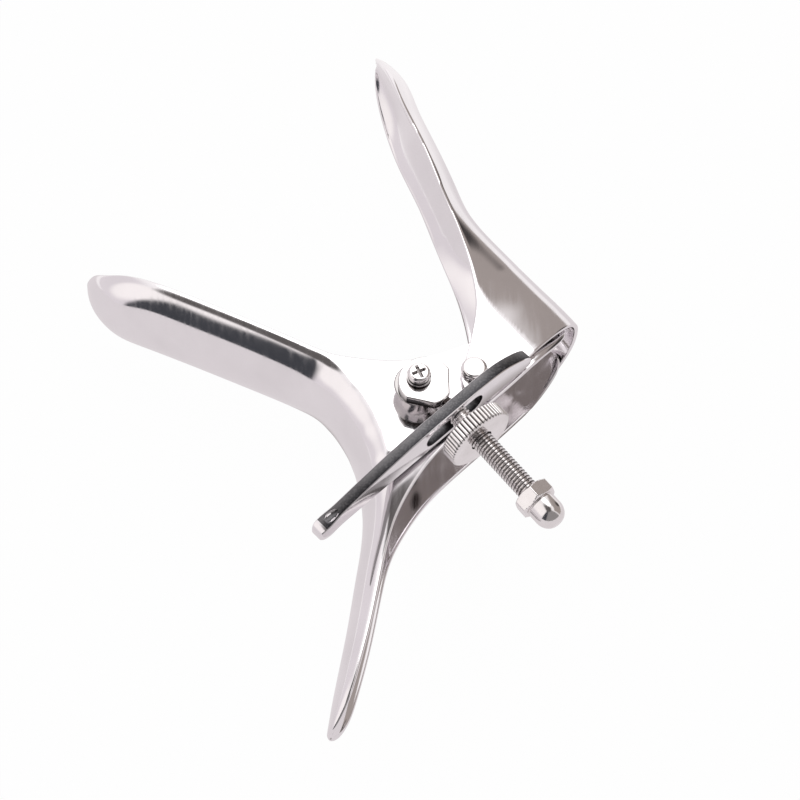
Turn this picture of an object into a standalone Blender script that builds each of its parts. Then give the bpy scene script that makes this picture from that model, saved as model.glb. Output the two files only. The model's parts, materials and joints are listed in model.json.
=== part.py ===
"""A bivalve speculum of polished sheet steel with a side screw, shown wide open.

Two pressed valves turn on a pair of rivets. The upper valve carries a slotted lever, and a
threaded rod that swivels on the lower valve passes through the slot, so that a knurled nut
on the rod sets how far the valves open. The part lies on its far side: +Z runs along the
hinge axis, and the valves open in the XY plane.
"""

import math

import bmesh
import bpy
from mathutils import Matrix, Vector
from mathutils.geometry import interpolate_bezier

MM = 0.001

# Sheet and running gaps
SHEET = 1.3 * MM
SIDE_GAP = 0.35 * MM
SEAT_GAP = 0.3 * MM
PIN_CLEARANCE = 0.2 * MM

# Half widths of the pressed valves, at the middle of the sheet
COLLAR_HALF_WIDTH = 14.0 * MM
LOWER_BLADE_HALF_WIDTH = 15.0 * MM
UPPER_BLADE_HALF_WIDTH = 16.0 * MM
HANDLE_HALF_WIDTH = 9.6 * MM
TIP_HALF_WIDTH = 1.6 * MM

# Depths of the troughs, from the free edge to the crown
LOWER_BLADE_DEPTH = 9.0 * MM
UPPER_BLADE_DEPTH = 6.3 * MM
LOWER_COLLAR_DEPTH = 8.6 * MM
UPPER_COLLAR_DEPTH = 20.0 * MM
UPPER_CROWN_HALF_WIDTH = 11.5 * MM
HANDLE_DEPTH = 6.0 * MM

# The lower cheeks lean inwards towards their ends, to lie inside the upper collar
CHEEK_LEAN = 6.6 * MM
CHEEK_LEAN_LENGTH = 16.0 * MM
CHEEK_LEAN_START = 16.2 * MM
CHEEK_DIRECTION = 40.8

# How round the sections are: the handles of their curves, as a share of the way to the corner
ROUND = 0.55
BOXED = 0.75

# Hinge rivets
RIVET_RADIUS = 2.0 * MM
RIVET_HEAD_RADIUS = 3.5 * MM
RIVET_HEAD_HEIGHT = 1.9 * MM
RIVET_TAIL_RADIUS = 3.1 * MM
RIVET_TAIL_HEIGHT = 1.1 * MM

# Opening lever, along the proximal rim of the upper valve
LEVER_ANGLE = 44.0
LEVER_OFFSET = 7.6 * MM
LEVER_THICKNESS = 3.5 * MM
LEVER_HEIGHT = 10.8 * MM
LEVER_END_HEIGHT = 5.6 * MM
LEVER_UPPER_END = 13.0 * MM
LEVER_LOWER_END = 66.0 * MM
SLOT_CENTRE = 17.0 * MM
SLOT_LENGTH = 21.0 * MM

# Threaded rod, its eye and what turns on it
ROD_RADIUS = 3.0 * MM
ROD_ANGLE = -51.1
ROD_PIVOT = (-15.4 * MM, -6.2 * MM)
ROD_SIDE_OFFSET = 1.65 * MM
ROD_HEIGHT = 7.1 * MM
ROD_LENGTH = 50.4 * MM
SLOT_CLEARANCE = 0.25 * MM
EYE_RADIUS = 7.25 * MM
EYE_THICKNESS = 3.0 * MM
EYE_ALONG = 1.9 * MM
EYE_ASIDE = 0.6 * MM
EYE_FLAT_ANGLE = 52.0
EYE_FLAT_DISTANCE = 6.4 * MM
NUT_RADIUS = 9.85 * MM
NUT_THICKNESS = 5.0 * MM
NUT_CHAMFER = 0.5 * MM
NUT_DISTANCE = 19.8 * MM
KNURLS = 52
KNURL_DEPTH = 0.4 * MM
DOME_NUT_ACROSS_FLATS = 10.0 * MM
DOME_NUT_HEX_LENGTH = 4.2 * MM
DOME_NUT_TURN = 12.0
DOME_NUT_GRIP = 6.0 * MM
DOME_RADIUS = 4.2 * MM
DOME_LENGTH = 8.4 * MM

# Swivel of the rod
BOSS_RADIUS = 6.9 * MM
SCREW_RADIUS = 1.5 * MM
SCREW_HEAD_RADIUS = 2.6 * MM
SCREW_HEAD_HEIGHT = 2.0 * MM
SCREW_TAIL = 1.0 * MM
CROSS_WIDTH = 0.8 * MM
CROSS_LENGTH = 3.4 * MM
CROSS_DEPTH = 1.0 * MM
WASHER_RADIUS = 3.3 * MM
WASHER_THICKNESS = 0.8 * MM
WASHER_SPLIT = 0.7 * MM

# Heights that follow from the sheet and the gaps, all measured from the middle plane
UPPER_COLLAR_HALF_WIDTH = COLLAR_HALF_WIDTH + SHEET + SIDE_GAP
LOWER_CHEEK_OUTER = COLLAR_HALF_WIDTH + SHEET / 2
LOWER_CHEEK_INNER = COLLAR_HALF_WIDTH - SHEET / 2
UPPER_CHEEK_OUTER = UPPER_COLLAR_HALF_WIDTH + SHEET / 2
LEVER_BASE = UPPER_CHEEK_OUTER + SEAT_GAP
ROD_AXIS = LOWER_CHEEK_OUTER + ROD_HEIGHT
EYE_TOP = ROD_AXIS + EYE_THICKNESS / 2

# How finely the sheets are divided
ACROSS_FLAT = 7
ACROSS_ARC = 5
ALONG = 2


def lower_stations():
    """The lower valve from its tip to the end of the handle, crown and edge points in mm.

    Each section gives its crown point, its edge point, the half width, the depth of the
    curved part and how boxed that part is (0 round, 1 boxed).
    """
    blade, collar, grip = LOWER_BLADE_HALF_WIDTH, COLLAR_HALF_WIDTH, HANDLE_HALF_WIDTH
    deep, bend, shallow = LOWER_BLADE_DEPTH, LOWER_COLLAR_DEPTH, HANDLE_DEPTH
    return [
        ((-109.0, 35.4), (-108.8, 35.9), TIP_HALF_WIDTH, 0.4 * MM, 0.0),
        ((-108.4, 31.8), (-106.6, 35.4), blade * 0.4, deep * 0.42, 0.0),
        ((-106.0, 27.2), (-102.4, 33.0), blade * 0.66, deep * 0.72, 0.0),
        ((-100.6, 22.4), (-96.2, 30.8), blade * 0.89, deep * 0.96, 0.0),
        ((-91.7, 19.2), (-88.0, 27.5), blade, deep, 0.0),
        ((-79.7, 14.1), (-76.0, 22.4), blade, deep, 0.0),
        ((-65.6, 7.9), (-61.9, 16.1), blade, deep, 0.0),
        ((-53.4, 2.3), (-49.8, 10.6), blade * 0.98, deep, 0.0),
        ((-46.4, -1.4), (-41.2, 6.6), blade * 0.96, deep, 0.0),
        ((-43.0, -3.9), (-35.0, 5.2), collar, bend * 1.05, 0.0),
        ((-40.6, -6.3), (-18.0, 3.9), collar, bend, 0.0),
        ((-38.7, -8.6), (-1.5, 7.0), collar, bend, 0.0),
        ((-37.3, -10.6), (9.0, 13.4), collar, bend, 0.0),
        ((-36.1, -12.5), (19.8, 22.6), collar, bend, 0.0),
        ((-35.2, -14.1), (26.8, 17.8), collar, bend, 0.0),
        ((-34.2, -16.1), (22.4, 9.8), collar, bend, 0.0),
        ((-33.1, -18.9), (12.0, -1.6), collar, bend, 0.0),
        ((-31.7, -23.0), (0.6, -12.8), collar, bend, 0.0),
        ((-30.2, -29.4), (-11.6, -25.6), collar * 0.97, bend * 0.95, 0.0),
        ((-29.3, -38.0), (-19.2, -38.0), grip * 1.28, bend * 0.88, 0.0),
        ((-29.8, -47.2), (-22.8, -47.4), grip * 1.12, shallow * 1.12, 0.0),
        ((-31.3, -57.2), (-24.9, -57.8), grip * 1.03, shallow * 1.03, 0.0),
        ((-33.2, -70.6), (-27.4, -71.4), grip, shallow * 0.96, 0.0),
        ((-35.3, -82.4), (-30.2, -83.2), grip * 0.98, shallow * 0.84, 0.0),
        ((-36.8, -90.8), (-32.4, -91.4), grip * 0.9, shallow * 0.72, 0.0),
        ((-37.6, -96.2), (-34.6, -96.4), grip * 0.68, shallow * 0.5, 0.0),
        ((-38.0, -98.9), (-36.4, -99.0), grip * 0.42, shallow * 0.26, 0.0),
        ((-38.1, -99.9), (-37.5, -99.9), TIP_HALF_WIDTH, 0.4 * MM, 0.0),
    ]


def upper_stations():
    """The upper valve from its tip to the proximal rim, in the same order of values."""
    blade, collar = UPPER_BLADE_HALF_WIDTH, UPPER_COLLAR_HALF_WIDTH
    deep, arch = UPPER_BLADE_DEPTH, UPPER_COLLAR_DEPTH
    return [
        ((-26.8, 117.0), (-27.3, 116.8), TIP_HALF_WIDTH, 0.4 * MM, 0.0),
        ((-24.8, 115.0), (-27.4, 113.6), blade * 0.38, deep * 0.4, 0.0),
        ((-21.4, 110.8), (-26.2, 108.4), blade * 0.66, deep * 0.74, 0.0),
        ((-17.2, 103.6), (-23.8, 101.0), blade * 0.91, deep * 0.98, 0.0),
        ((-14.2, 94.0), (-20.6, 91.7), blade, deep, 0.0),
        ((-10.4, 84.8), (-16.9, 82.6), blade, deep, 0.0),
        ((-6.9, 76.3), (-13.3, 73.9), blade, deep, 0.0),
        ((-3.6, 67.4), (-9.9, 63.6), blade, deep * 1.05, 0.1),
        ((-0.8, 59.4), (-6.7, 54.4), blade, arch * 0.4, 0.5),
        ((2.0, 54.4), (-4.2, 47.4), blade, arch * 0.5, 0.9),
        ((6.0, 49.6), (-1.9, 39.8), collar, arch * 0.66, 1.0),
        ((12.2, 42.8), (-0.1, 31.6), collar, arch * 0.83, 1.0),
        ((17.4, 37.0), (1.0, 22.8), collar, arch * 0.95, 1.0),
        ((21.4, 32.5), (0.2, 15.4), collar, arch, 1.0),
        ((24.6, 28.9), (-1.6, 6.6), collar, arch, 1.0),
        ((26.8, 26.3), (-3.4, 0.2), collar, arch, 1.0),
        ((28.2, 24.6), (-3.3, -4.6), collar, arch, 1.0),
        ((29.4, 23.1), (-0.6, -8.0), collar, arch, 1.0),
        ((30.4, 21.7), (4.6, -7.6), collar, arch, 1.0),
    ]


def clear_scene():
    for obj in list(bpy.data.objects):
        bpy.data.objects.remove(obj, do_unlink=True)


def steel(name, colour, roughness):
    material = bpy.data.materials.new(name)
    material.use_nodes = True
    shader = material.node_tree.nodes["Principled BSDF"]
    shader.inputs["Base Color"].default_value = (*colour, 1.0)
    shader.inputs["Metallic"].default_value = 1.0
    shader.inputs["Roughness"].default_value = roughness
    return material


def add_object(name, mesh, material=None):
    obj = bpy.data.objects.new(name, mesh)
    bpy.context.scene.collection.objects.link(obj)
    if material:
        mesh.materials.append(material)
    return obj


def mesh_from(name, build):
    """A mesh made by a function that fills a bmesh, with its faces pointing outwards."""
    shape = bmesh.new()
    build(shape)
    bmesh.ops.recalc_face_normals(shape, faces=shape.faces)
    mesh = bpy.data.meshes.new(name)
    shape.to_mesh(mesh)
    shape.free()
    return mesh


def smooth(mesh, angle=40.0):
    mesh.shade_smooth()
    mesh.set_sharp_from_angle(angle=math.radians(angle))


def smooth_row(values, steps):
    """Values at the stations, with steps of a smooth curve between each two of them."""
    last = len(values) - 1
    row = []
    for i in range(last):
        here, after = values[i], values[i + 1]
        before, beyond = values[max(i - 1, 0)], values[min(i + 2, last)]
        leave = here + (after - before) / 6
        arrive = after - (beyond - here) / 6
        row += interpolate_bezier(here, leave, arrive, after, steps + 1)[:-1]
    return row + [values[last]]


def station_rows(stations, steps):
    """Smooth rows of crown points, edge points and (half width, depth, boxed)."""
    columns = [
        [Vector((row[0][0] * MM, row[0][1] * MM, 0.0)) for row in stations],
        [Vector((row[1][0] * MM, row[1][1] * MM, 0.0)) for row in stations],
        [Vector(row[2:]) for row in stations],
    ]
    return list(zip(*(smooth_row(column, steps) for column in columns)))


def cheek_drop(point):
    """How much lower a lower cheek lies at a point, towards the inside of the upper collar."""
    turn = math.radians(CHEEK_DIRECTION)
    reach = point.x * math.cos(turn) + point.y * math.sin(turn) - CHEEK_LEAN_START
    return CHEEK_LEAN * (max(reach, 0.0) / CHEEK_LEAN_LENGTH) ** 1.3


def trough_section(crown, edge, size, leaning):
    """Points across the sheet, from the near edge over the crown to the far edge."""
    half_width, boxed = size.x, size.z
    inward = edge - crown
    length = inward.length
    inward = inward / length
    depth = min(size.y, length * 0.94)
    shoulder = half_width + (min(UPPER_CROWN_HALF_WIDTH, half_width) - half_width) * boxed
    bulge = ROUND + (BOXED - ROUND) * boxed
    half = []
    for i in range(ACROSS_FLAT):
        point = crown + inward * (length + (depth - length) * i / ACROSS_FLAT)
        drop = cheek_drop(point) if leaning else 0.0
        half.append(point + Vector((0.0, 0.0, half_width - drop)))
    for i in range(ACROSS_ARC):
        far, near = i / ACROSS_ARC, 1 - i / ACROSS_ARC
        low, high, end = 3 * near * far * far, 3 * near * near * far, near**3
        along = depth * (high * (1 - bulge) + end)
        height = low * bulge * shoulder + end * half_width
        height += high * (half_width + bulge * (shoulder - half_width))
        half.append(crown + inward * along + Vector((0.0, 0.0, height)))
    mirrored = [Vector((p.x, p.y, -p.z)) for p in reversed(half)]
    return half + [crown] + mirrored


def pressed_sheet(name, stations, material, leaning=False):
    """A valve: a sheet lofted through its sections and given its thickness."""
    sections = [trough_section(*row, leaning) for row in station_rows(stations, ALONG)]

    def build(shape):
        rows = [[shape.verts.new(point) for point in section] for section in sections]
        for row, following in zip(rows, rows[1:]):
            for i in range(len(row) - 1):
                shape.faces.new((row[i], row[i + 1], following[i + 1], following[i]))

    mesh = mesh_from(name, build)
    smooth(mesh)
    valve = add_object(name, mesh, material)
    wall = valve.modifiers.new("sheet", "SOLIDIFY")
    wall.thickness = SHEET
    wall.offset = 0.0
    wall.use_even_offset = False
    return valve


def bore(target, name, centre, radius, reach):
    """A round hole along Z, cut from both cheeks or one, wherever the cutter reaches."""
    low, high = reach
    cutter = add_object(name, lathe_mesh(name, [(radius, low), (radius, high)], 24))
    cutter.location = (centre[0], centre[1], 0.0)
    cutter.hide_render = True
    cutter.display_type = "WIRE"
    cut = target.modifiers.new(name, "BOOLEAN")
    cut.operation = "DIFFERENCE"
    cut.object = cutter
    return cutter


def lathe_mesh(name, profile, sides, bore_radius=0.0):
    """A turned solid about Z: rings of the profile's (radius, height), capped or bored."""
    rings = list(profile)
    if bore_radius:
        rings = [(bore_radius, rings[0][1])] + rings + [(bore_radius, rings[-1][1])]

    def build(shape):
        loops = []
        for radius, height in rings:
            if radius < 1e-7:
                loops.append([shape.verts.new((0.0, 0.0, height))])
                continue
            turns = [2 * math.pi * i / sides for i in range(sides)]
            loops.append(
                [
                    shape.verts.new((radius * math.cos(t), radius * math.sin(t), height))
                    for t in turns
                ]
            )
        pairs = list(zip(loops, loops[1:]))
        if bore_radius:
            pairs.append((loops[-1], loops[0]))
        for low, high in pairs:
            join_loops(shape, low, high)
        if not bore_radius:
            for loop in (loops[0], loops[-1]):
                if len(loop) > 2:
                    shape.faces.new(loop)

    return mesh_from(name, build)


def join_loops(shape, low, high):
    count = max(len(low), len(high))
    for i in range(count):
        j = (i + 1) % count
        corners = [low[i % len(low)], low[j % len(low)], high[j % len(high)], high[i % len(high)]]
        corners = list(dict.fromkeys(corners))
        shape.faces.new(corners)


def prism_mesh(name, outline, low, high):
    """A solid with a flat outline in XY, from one height to another."""

    def build(shape):
        base = [shape.verts.new((x, y, low)) for x, y in outline]
        top = [shape.verts.new((x, y, high)) for x, y in outline]
        shape.faces.new(base)
        shape.faces.new(top)
        join_loops(shape, base, top)

    return mesh_from(name, build)


def arc(centre, radius, start, end, steps):
    """Points on an arc, angles in degrees."""
    angles = [math.radians(start + (end - start) * i / steps) for i in range(steps + 1)]
    return [(centre[0] + radius * math.cos(a), centre[1] + radius * math.sin(a)) for a in angles]


def dome_profile(radius, height, base, steps=4):
    """Rings of a low dome that stands on the base height."""
    rings = []
    for i in range(steps + 1):
        turn = math.pi / 2 * i / steps
        rings.append((radius * math.cos(turn), base + height * math.sin(turn)))
    rings[-1] = (0.0, base + height)
    return rings


def make_rivet(name, side, material):
    """A domed rivet through both cheeks on one side, with its formed tail inside."""
    head_base = UPPER_CHEEK_OUTER + SEAT_GAP
    tail_top = LOWER_CHEEK_INNER - SEAT_GAP
    profile = [
        (RIVET_TAIL_RADIUS, tail_top - RIVET_TAIL_HEIGHT),
        (RIVET_TAIL_RADIUS, tail_top),
        (RIVET_RADIUS, tail_top),
        (RIVET_RADIUS, head_base),
        (RIVET_HEAD_RADIUS, head_base),
    ]
    profile += dome_profile(RIVET_HEAD_RADIUS, RIVET_HEAD_HEIGHT, head_base + 0.3 * MM)
    mesh = lathe_mesh(name, profile, 28)
    if side < 0:
        mesh.transform(Matrix.Rotation(math.pi, 4, "X"))
    smooth(mesh)
    return add_object(name, mesh, material)


def make_lever(material):
    """The slotted lever: a bar on edge, rounded at its upper end and lower at the thumb end."""
    base, top = LEVER_BASE, LEVER_BASE + LEVER_HEIGHT
    tip, thumb = LEVER_UPPER_END, LEVER_BASE + LEVER_END_HEIGHT
    round_off = 1.6 * MM
    outline = [(-LEVER_LOWER_END + 1.2 * MM, base), (tip, base), (tip, base + 3.0 * MM)]
    outline += [(tip - 3.0 * MM, base + 5.6 * MM), (tip - 7.0 * MM, top - 3.0 * MM)]
    outline += [(tip - 12.0 * MM, top - 1.0 * MM), (tip - 19.0 * MM, top)]
    outline += [(-40.0 * MM, top), (-50.0 * MM, top - 1.6 * MM)]
    outline += [(-LEVER_LOWER_END + 6.0 * MM, thumb + 1.0 * MM)]
    outline += arc((-LEVER_LOWER_END + round_off, thumb - round_off), round_off, 90, 180, 3)
    mesh = prism_mesh("opening_lever", outline, -LEVER_THICKNESS / 2, LEVER_THICKNESS / 2)
    mesh.transform(Matrix.Rotation(math.pi / 2, 4, "X"))
    mesh.transform(Matrix.Translation((0.0, -LEVER_OFFSET, 0.0)))
    smooth(mesh, 30.0)
    lever = add_object("opening_lever", mesh, material)
    lever.rotation_euler.z = math.radians(LEVER_ANGLE)
    slot = slot_cutter()
    slot.rotation_euler.z = math.radians(LEVER_ANGLE)
    cut = lever.modifiers.new("slot", "BOOLEAN")
    cut.operation = "DIFFERENCE"
    cut.object = slot
    return lever


def slot_cutter():
    """The slot's own shape, round at both ends, across the whole lever."""
    radius = ROD_RADIUS + SLOT_CLEARANCE
    straight = SLOT_LENGTH / 2 - radius
    outline = arc((-SLOT_CENTRE + straight, ROD_AXIS), radius, -90, 90, 8)
    outline += arc((-SLOT_CENTRE - straight, ROD_AXIS), radius, 90, 270, 8)
    mesh = prism_mesh("slot_cutter", outline, -LEVER_THICKNESS, LEVER_THICKNESS)
    mesh.transform(Matrix.Rotation(math.pi / 2, 4, "X"))
    mesh.transform(Matrix.Translation((0.0, -LEVER_OFFSET, 0.0)))
    cutter = add_object("slot_cutter", mesh)
    cutter.hide_render = True
    cutter.display_type = "WIRE"
    return cutter


def rod_carrier():
    """An empty on the swivel axis, turned so that its +X runs along the rod."""
    carrier = bpy.data.objects.new("rod_pivot", None)
    bpy.context.scene.collection.objects.link(carrier)
    carrier.location = (*ROD_PIVOT, 0.0)
    carrier.rotation_euler.z = math.radians(ROD_ANGLE)
    return carrier


def on_rod(mesh):
    """Lays a shape turned about Z along the rod's axis."""
    mesh.transform(Matrix.Rotation(math.pi / 2, 4, "Y"))
    mesh.transform(Matrix.Translation((0.0, ROD_SIDE_OFFSET, ROD_AXIS)))


def eye_outline():
    """A disc about the swivel with two flats that lead towards the shank."""
    points = []
    for i in range(40):
        turn = 2 * math.pi * i / 40
        reach = EYE_RADIUS
        for side in (-1, 1):
            lean = math.cos(turn - side * math.radians(EYE_FLAT_ANGLE))
            if lean > 0:
                reach = min(reach, EYE_FLAT_DISTANCE / lean)
        points.append((reach * math.cos(turn), reach * math.sin(turn)))
    return points


def make_rod(carrier, material):
    """The rod and its eye, one forged and threaded piece."""
    eye = prism_mesh(
        "threaded_rod", eye_outline(), ROD_AXIS - EYE_THICKNESS / 2, ROD_AXIS + EYE_THICKNESS / 2
    )
    eye.transform(Matrix.Translation((EYE_ALONG, EYE_ASIDE, 0.0)))
    rod = add_object("threaded_rod", eye, material)
    rod.parent = carrier
    start = BOSS_RADIUS + 2 * SEAT_GAP
    profile = [
        (ROD_RADIUS - 0.9 * MM, start),
        (ROD_RADIUS, start + 1.1 * MM),
        (ROD_RADIUS, ROD_LENGTH - 0.6 * MM),
        (ROD_RADIUS - 0.6 * MM, ROD_LENGTH),
    ]
    shank_mesh = lathe_mesh("shank_joiner", profile, 26)
    on_rod(shank_mesh)
    shank = add_object("shank_joiner", shank_mesh)
    shank.parent = carrier
    shank.hide_render = True
    shank.display_type = "WIRE"
    join = rod.modifiers.new("shank", "BOOLEAN")
    join.operation = "UNION"
    join.object = shank
    hole = bore(rod, "eye_hole", (0.0, 0.0), SCREW_RADIUS + PIN_CLEARANCE, (0.0, 2 * ROD_AXIS))
    hole.parent = carrier
    return rod


def make_knurled_nut(carrier, material):
    """The thumb nut: a disc with straight grooves round its rim."""
    outline = []
    for i in range(KNURLS):
        for fraction, radius in ((0.0, NUT_RADIUS), (0.4, NUT_RADIUS), (0.7, NUT_RADIUS - KNURL_DEPTH)):
            turn = 2 * math.pi * (i + fraction) / KNURLS
            outline.append((radius * math.cos(turn), radius * math.sin(turn)))

    inner = ROD_RADIUS + SEAT_GAP
    chamfered = NUT_RADIUS - NUT_CHAMFER

    def build(shape):
        def ring(scale, height):
            return [shape.verts.new((x * scale, y * scale, height)) for x, y in outline]

        def circle(radius, height):
            return [
                shape.verts.new((radius * math.cos(t), radius * math.sin(t), height))
                for t in (math.atan2(y, x) for x, y in outline)
            ]

        low, high = NUT_DISTANCE, NUT_DISTANCE + NUT_THICKNESS
        loops = [
            circle(inner, low),
            circle(chamfered - KNURL_DEPTH, low),
            ring(1.0, low + NUT_CHAMFER),
            ring(1.0, high - NUT_CHAMFER),
            circle(chamfered - KNURL_DEPTH, high),
            circle(inner, high),
        ]
        for first, second in zip(loops, loops[1:] + loops[:1]):
            join_loops(shape, first, second)

    mesh = mesh_from("knurled_nut", build)
    on_rod(mesh)
    smooth(mesh, 25.0)
    nut = add_object("knurled_nut", mesh, material)
    nut.parent = carrier
    return nut


def make_dome_nut(carrier, material):
    """The cap nut that closes the rod's end: a hexagon and a dome, bored from behind."""
    corner = DOME_NUT_ACROSS_FLATS / math.sqrt(3)
    back = ROD_LENGTH - DOME_NUT_GRIP
    hexagon = lathe_mesh(
        "dome_nut",
        [
            (corner * 0.9, back),
            (corner, back + 0.5 * MM),
            (corner, back + DOME_NUT_HEX_LENGTH - 0.5 * MM),
            (corner * 0.9, back + DOME_NUT_HEX_LENGTH),
        ],
        6,
    )
    hexagon.transform(Matrix.Rotation(math.radians(90.0 + DOME_NUT_TURN), 4, "Z"))
    on_rod(hexagon)
    nut = add_object("dome_nut", hexagon, material)
    nut.parent = carrier
    front = back + DOME_NUT_HEX_LENGTH - 1.0 * MM
    wall = DOME_LENGTH - DOME_RADIUS
    profile = [(DOME_RADIUS, front), (DOME_RADIUS, front + wall)]
    profile += dome_profile(DOME_RADIUS, DOME_RADIUS, front + wall)[1:]
    dome_mesh = lathe_mesh("dome_joiner", profile, 24)
    on_rod(dome_mesh)
    dome = add_object("dome_joiner", dome_mesh)
    dome.parent = carrier
    dome.hide_render = True
    dome.display_type = "WIRE"
    join = nut.modifiers.new("dome", "BOOLEAN")
    join.operation = "UNION"
    join.object = dome
    hole_mesh = lathe_mesh(
        "dome_nut_bore",
        [(ROD_RADIUS + SEAT_GAP, back - 1.0 * MM), (ROD_RADIUS + SEAT_GAP, ROD_LENGTH + SEAT_GAP)],
        24,
    )
    on_rod(hole_mesh)
    hole = add_object("dome_nut_bore", hole_mesh)
    hole.parent = carrier
    hole.hide_render = True
    hole.display_type = "WIRE"
    cut = nut.modifiers.new("bore", "BOOLEAN")
    cut.operation = "DIFFERENCE"
    cut.object = hole
    return nut


def make_boss(material):
    """The round boss that lifts the eye clear of the cheek."""
    low = LOWER_CHEEK_OUTER + SEAT_GAP
    high = ROD_AXIS - EYE_THICKNESS / 2 - SEAT_GAP
    profile = [
        (BOSS_RADIUS, low),
        (BOSS_RADIUS, low + (high - low) * 0.35),
        (BOSS_RADIUS * 0.8, high),
    ]
    mesh = lathe_mesh("pivot_boss", profile, 28, SCREW_RADIUS + PIN_CLEARANCE)
    smooth(mesh)
    boss = add_object("pivot_boss", mesh, material)
    boss.location = (*ROD_PIVOT, 0.0)
    return boss


def make_washer(material):
    """A split spring washer under the screw's head."""
    inner = SCREW_RADIUS + PIN_CLEARANCE
    low = EYE_TOP + SEAT_GAP
    gap = math.degrees(WASHER_SPLIT / WASHER_RADIUS)
    outline = arc((0.0, 0.0), WASHER_RADIUS, 40 + gap, 400, 24)
    outline += arc((0.0, 0.0), inner, 400, 40 + gap, 24)
    mesh = prism_mesh("spring_washer", outline, low, low + WASHER_THICKNESS)
    washer = add_object("spring_washer", mesh, material)
    washer.location = (*ROD_PIVOT, 0.0)
    return washer


def make_screw(material):
    """The cross-recessed screw that holds the eye, its tail peened inside the cheek."""
    head = EYE_TOP + WASHER_THICKNESS + 2 * SEAT_GAP
    tail = LOWER_CHEEK_INNER - SCREW_TAIL
    profile = [
        (SCREW_RADIUS, tail),
        (SCREW_RADIUS, head),
        (SCREW_HEAD_RADIUS, head),
        (SCREW_HEAD_RADIUS, head + SCREW_HEAD_HEIGHT * 0.6),
        (SCREW_HEAD_RADIUS * 0.9, head + SCREW_HEAD_HEIGHT * 0.88),
        (SCREW_HEAD_RADIUS * 0.7, head + SCREW_HEAD_HEIGHT),
    ]
    mesh = lathe_mesh("pivot_screw", profile, 24)
    smooth(mesh)
    screw = add_object("pivot_screw", mesh, material)
    screw.location = (*ROD_PIVOT, 0.0)
    top = head + SCREW_HEAD_HEIGHT
    long, half = CROSS_LENGTH / 2, CROSS_WIDTH / 2
    cross = [(half, half), (half, long), (-half, long), (-half, half), (-long, half), (-long, -half)]
    cross += [(-half, -half), (-half, -long), (half, -long), (half, -half), (long, -half), (long, half)]
    recess_mesh = prism_mesh("cross_recess", cross, top - CROSS_DEPTH, top + CROSS_DEPTH)
    recess = add_object("cross_recess", recess_mesh)
    recess.location = screw.location
    recess.rotation_euler.z = math.radians(25.0)
    recess.hide_render = True
    recess.display_type = "WIRE"
    cut = screw.modifiers.new("recess", "BOOLEAN")
    cut.operation = "DIFFERENCE"
    cut.object = recess
    return screw


def stand_on_origin():
    """Moves everything so that the origin is under the middle of the part, on its far side."""
    graph = bpy.context.evaluated_depsgraph_get()
    corners = []
    for obj in bpy.data.objects:
        if obj.type == "MESH" and not obj.hide_render:
            mesh = obj.evaluated_get(graph).to_mesh()
            corners += [obj.matrix_world @ vertex.co for vertex in mesh.vertices]
    low = Vector([min(corner[i] for corner in corners) for i in range(3)])
    high = Vector([max(corner[i] for corner in corners) for i in range(3)])
    for obj in bpy.data.objects:
        if obj.parent is None:
            obj.location -= Vector(((low.x + high.x) / 2, (low.y + high.y) / 2, low.z))


def main():
    clear_scene()
    polished = steel("polished_steel", (0.82, 0.81, 0.82), 0.12)
    plated = steel("plated_steel", (0.78, 0.77, 0.77), 0.2)

    lower = pressed_sheet("lower_valve", lower_stations(), polished, leaning=True)
    upper = pressed_sheet("upper_valve", upper_stations(), polished)
    reach = UPPER_CHEEK_OUTER * 2
    hole = RIVET_RADIUS + PIN_CLEARANCE
    bore(lower, "lower_hinge_hole", (0.0, 0.0), hole, (-reach, reach))
    bore(lower, "pivot_hole", ROD_PIVOT, SCREW_RADIUS + PIN_CLEARANCE, (0.0, reach))
    bore(upper, "upper_hinge_hole", (0.0, 0.0), hole, (-reach, reach))
    make_rivet("hinge_rivet_near", 1, plated)
    make_rivet("hinge_rivet_far", -1, plated)
    make_lever(polished)
    carrier = rod_carrier()
    make_rod(carrier, plated)
    make_knurled_nut(carrier, plated)
    make_dome_nut(carrier, plated)
    make_boss(plated)
    make_washer(plated)
    make_screw(plated)
    stand_on_origin()


main()
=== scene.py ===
"""A bivalve speculum of polished sheet steel with a side screw, dressed for its picture.

Both pressed valves, the slotted lever, the screw rod with its nuts and the small pivot pieces
are made again here with the rounded edges, thread and knurling of the real ones. Each stands
where the loaded assembly has it. Sizes are in millimetres until a mesh is placed.
"""

import json
import math

import bmesh
import bpy
import numpy as np
from mathutils import Matrix, Vector


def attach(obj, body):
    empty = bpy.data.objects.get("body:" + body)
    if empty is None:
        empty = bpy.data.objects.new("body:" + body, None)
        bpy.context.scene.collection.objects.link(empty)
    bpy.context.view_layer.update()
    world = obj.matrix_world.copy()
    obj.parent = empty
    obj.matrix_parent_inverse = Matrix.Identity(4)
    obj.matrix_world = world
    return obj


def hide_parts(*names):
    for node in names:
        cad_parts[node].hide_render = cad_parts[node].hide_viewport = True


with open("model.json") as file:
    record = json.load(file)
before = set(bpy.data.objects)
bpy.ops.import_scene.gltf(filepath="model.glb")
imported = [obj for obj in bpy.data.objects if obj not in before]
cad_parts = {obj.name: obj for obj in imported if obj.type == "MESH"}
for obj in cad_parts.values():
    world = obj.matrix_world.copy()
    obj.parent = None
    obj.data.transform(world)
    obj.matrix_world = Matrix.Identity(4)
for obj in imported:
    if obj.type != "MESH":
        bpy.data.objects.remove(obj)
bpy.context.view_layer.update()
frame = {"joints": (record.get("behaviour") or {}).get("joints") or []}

MM = 0.001
joints = {joint["name"]: joint for joint in frame["joints"]}
HINGE = Vector(joints["valve_hinge"]["pos_m"]) / MM
PIVOT = Vector(joints["rod_swivel"]["pos_m"]) / MM
ROD_DIRECTION = Vector(joints["nut_travel"]["axis"]).normalized()

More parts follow.
